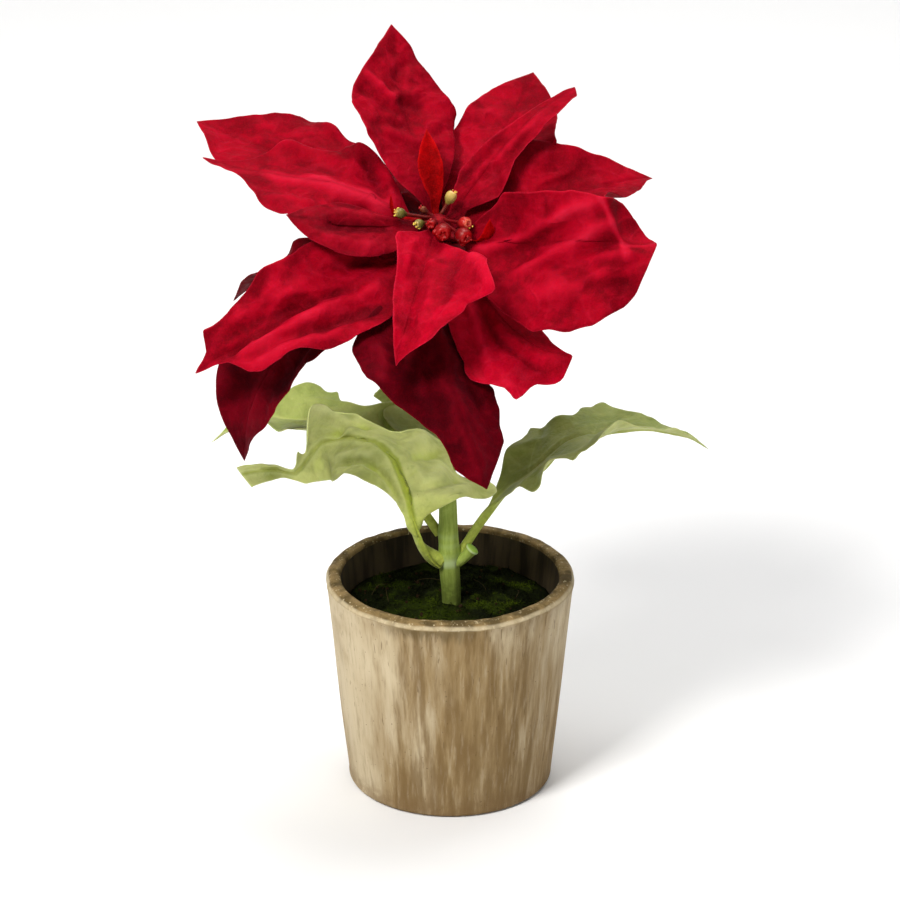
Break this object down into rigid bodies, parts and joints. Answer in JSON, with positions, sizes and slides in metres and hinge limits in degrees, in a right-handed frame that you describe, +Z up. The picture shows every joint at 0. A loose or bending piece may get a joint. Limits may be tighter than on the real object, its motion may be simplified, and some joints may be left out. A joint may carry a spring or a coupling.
{
  "type": "potted poinsettia",
  "caption": "Potted poinsettia: a flower head of pointed red bracts round small yellow flowers, on an upright stem with green leaves, in a small tapered cream pot topped with moss.",
  "frame": {"origin": "centre of the pot's flat underside", "axes": "+Z up along the stem; -Y is the front, the side towards the viewer of the picture; +X to that viewer's right"},
  "size_m": [0.1526, 0.1373, 0.225],
  "materials": {
    "pot_glaze": "matt cream wash with brown dry-brushed streaks",
    "potting_soil": "crumbly, dark",
    "moss": "rough dark green tufts",
    "stem_green": "satin green with fine ridges",
    "leaf_green": "matt green, paler underneath, with raised veins",
    "bract_red": "velvety crimson with soft veins",
    "cyathium_green": "satin",
    "cyathium_yellow": "satin",
    "cyathium_orange": "satin",
    "cyathium_pink": "satin",
    "cyathium_red": "satin"
  },
  "bodies": {
    "root": {"pot": "pot_glaze", "soil": "potting_soil", "moss": "moss", "stem": "stem_green", "leaf_front": "leaf_green", "leaf_right": "leaf_green", "leaf_back": "leaf_green", "leaf_left": "leaf_green", "bract_front_folded": "bract_red", "bract_inner_upright": "bract_red", "bract_left_small": "bract_red", "bract_right_narrow": "bract_red", "bract_back_tall": "bract_red", "bract_left_folded": "bract_red", "bract_right_broad": "bract_red", "bract_left_broad": "bract_red", "bract_front_right": "bract_red", "bract_right_back": "bract_red", "bract_back_right": "bract_red", "bract_left_back": "bract_red", "bract_front_low": "bract_red", "bract_left_low": "bract_red", "bract_back_low": "bract_red", "bract_back_right_low": "bract_red", "bract_back_left_low": "bract_red", "spike_bractlet_1": "bract_red", "spike_bractlet_2": "bract_red", "cyathium_1": "cyathium_yellow", "cyathium_2": "cyathium_green", "cyathium_3": "cyathium_green", "cyathium_4": "cyathium_pink", "cyathium_5": "cyathium_orange", "cyathium_6": "cyathium_red", "cyathium_7": "cyathium_red", "cyathium_8": "cyathium_green"}
  },
  "joints": []
}
